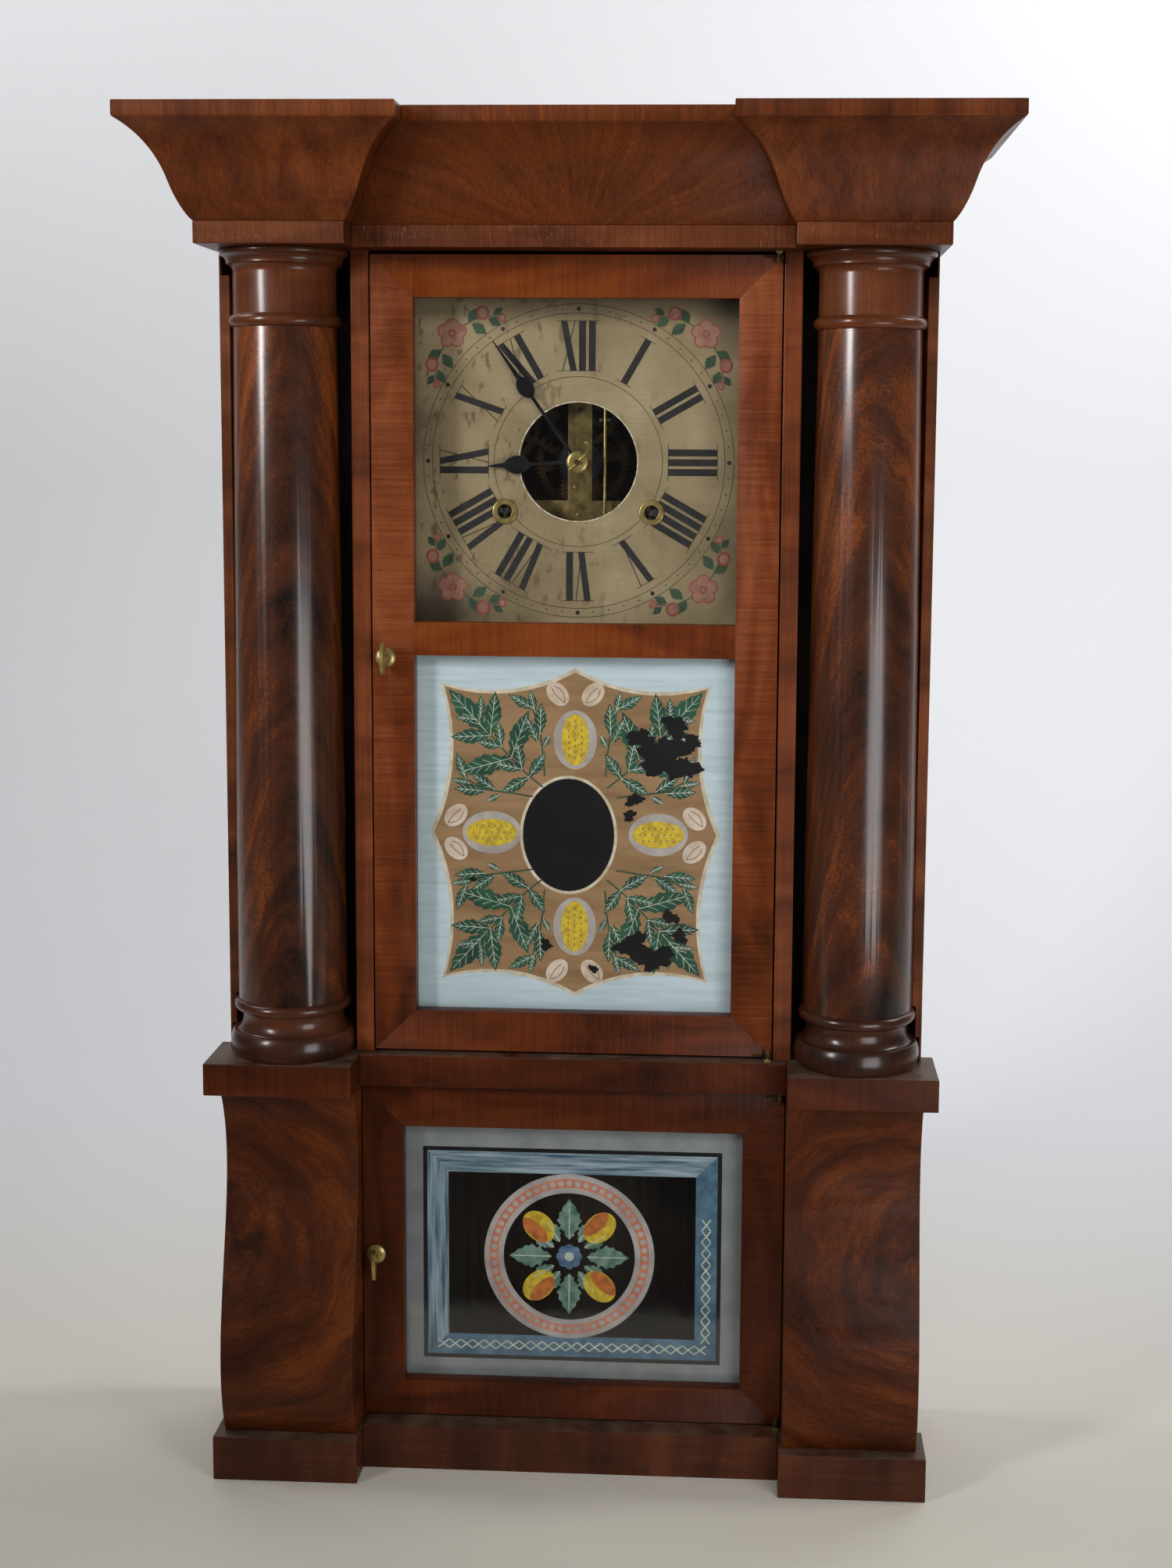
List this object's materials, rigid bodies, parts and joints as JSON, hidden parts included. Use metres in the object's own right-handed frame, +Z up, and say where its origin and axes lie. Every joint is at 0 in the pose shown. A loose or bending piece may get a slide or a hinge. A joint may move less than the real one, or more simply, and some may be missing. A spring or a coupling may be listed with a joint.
{
  "type": "triple-decker shelf clock",
  "caption": "Tall wooden shelf clock with full turned columns, flared cornice, glazed dial door over a painted tablet, small lower door, weight-driven strap movement, strike bell and pendulum.",
  "frame": {"origin": "middle of the overall box on the surface that the feet stand on", "axes": "+Z up, the front of the clock faces -Y, +X to the viewer's right"},
  "size_m": [0.512, 0.176, 0.838],
  "materials": {
    "mahogany_veneer": "aged shellac gloss",
    "column_veneer": "aged shellac gloss",
    "pine": "bare, aged",
    "black_paint": "flat black paint",
    "dial_paint": "aged ivory paint",
    "window_glass": "clear, slightly wavy",
    "painted_glass": "painted on the back",
    "brass": "aged, dull",
    "steel": "blued and worn",
    "iron": "rough, dark"
  },
  "bodies": {
    "case": {"back_board": "pine", "side_boards": "mahogany_veneer", "top_board": "pine", "bottom_board": "pine", "channel_panels": "black_paint", "door_posts": "mahogany_veneer", "frieze_rail": "mahogany_veneer", "capital_blocks": "mahogany_veneer", "right_cornice": "mahogany_veneer", "left_cornice": "mahogany_veneer", "centre_cornice": "mahogany_veneer", "column_bases": "column_veneer", "column_shafts": "column_veneer", "column_capitals": "column_veneer", "ledge_blocks": "mahogany_veneer", "centre_ledge": "mahogany_veneer", "pilasters": "mahogany_veneer", "foot_blocks": "mahogany_veneer", "centre_plinth": "mahogany_veneer", "hinge_pins": "brass", "dial_board": "dial_paint", "dial_cleats": "pine", "winding_grommets": "brass", "front_plate": "brass", "back_plate": "brass", "plate_pillars": "steel", "movement_rails": "pine", "bell": "brass", "pulley_brackets": "steel"},
    "upper_door": {"upper_door_stiles": "mahogany_veneer", "upper_door_rails": "mahogany_veneer", "dial_glass": "window_glass", "upper_tablet": "painted_glass", "upper_door_hinges": "brass"},
    "upper_latch": {"upper_latch": "brass"},
    "lower_door": {"lower_door_stiles": "mahogany_veneer", "lower_door_rails": "mahogany_veneer", "lower_tablet": "painted_glass", "lower_door_hinges": "brass"},
    "lower_latch": {"lower_latch": "brass"},
    "minute_hand": {"minute_hand": "steel", "hand_collet": "brass"},
    "hour_hand": {"hour_hand": "steel"},
    "minute_wheel": {"minute_wheel": "brass"},
    "escape_wheel": {"escape_wheel": "brass"},
    "third_wheel": {"third_wheel": "brass"},
    "centre_wheel": {"centre_wheel": "brass"},
    "time_great_wheel": {"time_great_wheel": "brass"},
    "fly": {"fly": "brass"},
    "pin_wheel": {"pin_wheel": "brass"},
    "strike_great_wheel": {"strike_great_wheel": "brass"},
    "pendulum": {"pendulum": "brass"},
    "verge_crutch": {"verge_crutch": "steel"},
    "hammer": {"hammer": "steel"},
    "left_weight": {"left_weight": "iron"},
    "right_weight": {"right_weight": "iron"},
    "time_drum": {"time_drum": "steel"},
    "strike_drum": {"strike_drum": "steel"},
    "left_pulley": {"left_pulley": "iron"},
    "right_pulley": {"right_pulley": "iron"}
  },
  "joints": [
    {"name": "upper_door_swing", "type": "hinge", "parent": "case", "child": "upper_door", "pos_m": [0.1215, -0.0094, 0.515], "axis": [0, 0, 1], "range_deg": [0, 110]},
    {"name": "upper_latch_turn", "type": "hinge", "parent": "upper_door", "child": "upper_latch", "pos_m": [-0.116, 0.002, 0.5168], "axis": [0, 1, 0], "range_deg": [0, 90]},
    {"name": "lower_door_swing", "type": "hinge", "parent": "case", "child": "lower_door", "pos_m": [0.1302, -0.0094, 0.138], "axis": [0, 0, 1], "range_deg": [0, 90]},
    {"name": "lower_latch_turn", "type": "hinge", "parent": "lower_door", "child": "lower_latch", "pos_m": [-0.1247, 0.002, 0.136], "axis": [0, -1, 0], "range_deg": [0, 90]},
    {"name": "minute_hand_turn", "type": "hinge", "parent": "case", "child": "minute_hand", "pos_m": [0, 0.023, 0.6367], "axis": [0, 1, 0], "continuous": true},
    {"name": "hour_hand_turn", "type": "hinge", "parent": "case", "child": "hour_hand", "pos_m": [0, 0.023, 0.6367], "axis": [0, 1, 0], "continuous": true},
    {"name": "minute_wheel_turn", "type": "hinge", "parent": "case", "child": "minute_wheel", "pos_m": [0, 0.039, 0.6193], "axis": [0, 1, 0], "continuous": true},
    {"name": "escape_wheel_turn", "type": "hinge", "parent": "case", "child": "escape_wheel", "pos_m": [0.01587, 0.053, 0.68954], "axis": [0, 1, 0], "continuous": true},
    {"name": "third_wheel_turn", "type": "hinge", "parent": "case", "child": "third_wheel", "pos_m": [0, 0.053, 0.66871], "axis": [0, 1, 0], "continuous": true},
    {"name": "centre_wheel_turn", "type": "hinge", "parent": "case", "child": "centre_wheel", "pos_m": [0, 0.053, 0.6367], "axis": [0, 1, 0], "continuous": true},
    {"name": "time_great_wheel_turn", "type": "hinge", "parent": "case", "child": "time_great_wheel", "pos_m": [0.0455, 0.06025, 0.6059], "axis": [0, 1, 0], "continuous": true},
    {"name": "fly_turn", "type": "hinge", "parent": "case", "child": "fly", "pos_m": [-0.05201, 0.053, 0.68956], "axis": [0, 1, 0], "continuous": true},
    {"name": "pin_wheel_turn", "type": "hinge", "parent": "case", "child": "pin_wheel", "pos_m": [-0.05201, 0.053, 0.66046], "axis": [0, 1, 0], "continuous": true},
    {"name": "strike_great_wheel_turn", "type": "hinge", "parent": "case", "child": "strike_great_wheel", "pos_m": [-0.0455, 0.04425, 0.6059], "axis": [0, 1, 0], "continuous": true},
    {"name": "pendulum_swing", "type": "hinge", "parent": "case", "child": "pendulum", "pos_m": [0.01587, 0.0277, 0.72458], "axis": [0, 1, 0], "range_deg": [-3, 3]},
    {"name": "verge_rock", "type": "hinge", "parent": "case", "child": "verge_crutch", "pos_m": [0.01587, 0.053, 0.70758], "axis": [0, 1, 0], "range_deg": [-4.5, 4.5]},
    {"name": "hammer_swing", "type": "hinge", "parent": "case", "child": "hammer", "pos_m": [-0.08801, 0.053, 0.66046], "axis": [0, 1, 0], "range_deg": [0, 5]},
    {"name": "left_weight_rise", "type": "slide", "parent": "case", "child": "left_weight", "axis": [0, 0, 1], "range_m": [0, 0.5]},
    {"name": "right_weight_rise", "type": "slide", "parent": "case", "child": "right_weight", "axis": [0, 0, 1], "range_m": [0, 0.5]},
    {"name": "time_drum_turn", "type": "hinge", "parent": "case", "child": "time_drum", "pos_m": [0.0455, 0.048, 0.6059], "axis": [0, 1, 0], "range_deg": [0, 3200]},
    {"name": "strike_drum_turn", "type": "hinge", "parent": "case", "child": "strike_drum", "pos_m": [-0.0455, 0.053, 0.6059], "axis": [0, 1, 0], "range_deg": [0, 3200]},
    {"name": "left_pulley_turn", "type": "hinge", "parent": "case", "child": "left_pulley", "pos_m": [-0.1585, 0.06075, 0.802], "axis": [0, 1, 0], "range_deg": [0, 2220]},
    {"name": "right_pulley_turn", "type": "hinge", "parent": "case", "child": "right_pulley", "pos_m": [0.1585, 0.06075, 0.802], "axis": [0, 1, 0], "range_deg": [-2220, 0]}
  ],
  "couplings": [
    {"joint": "hour_hand_turn", "follows": "minute_hand_turn", "ratio": 0.083333},
    {"joint": "minute_wheel_turn", "follows": "minute_hand_turn", "ratio": -0.33333},
    {"joint": "third_wheel_turn", "follows": "escape_wheel_turn", "ratio": -0.125},
    {"joint": "centre_wheel_turn", "follows": "escape_wheel_turn", "ratio": 0.0125},
    {"joint": "time_great_wheel_turn", "follows": "escape_wheel_turn", "ratio": -0.00125},
    {"joint": "pin_wheel_turn", "follows": "fly_turn", "ratio": -0.11111},
    {"joint": "strike_great_wheel_turn", "follows": "fly_turn", "ratio": 0.011111},
    {"joint": "verge_rock", "follows": "pendulum_swing", "ratio": 1.3778},
    {"joint": "time_drum_turn", "follows": "right_weight_rise", "rad_per_m": 111.11},
    {"joint": "strike_drum_turn", "follows": "left_weight_rise", "rad_per_m": 111.11},
    {"joint": "left_pulley_turn", "follows": "left_weight_rise", "rad_per_m": 76.923},
    {"joint": "right_pulley_turn", "follows": "right_weight_rise", "rad_per_m": -76.923}
  ]
}
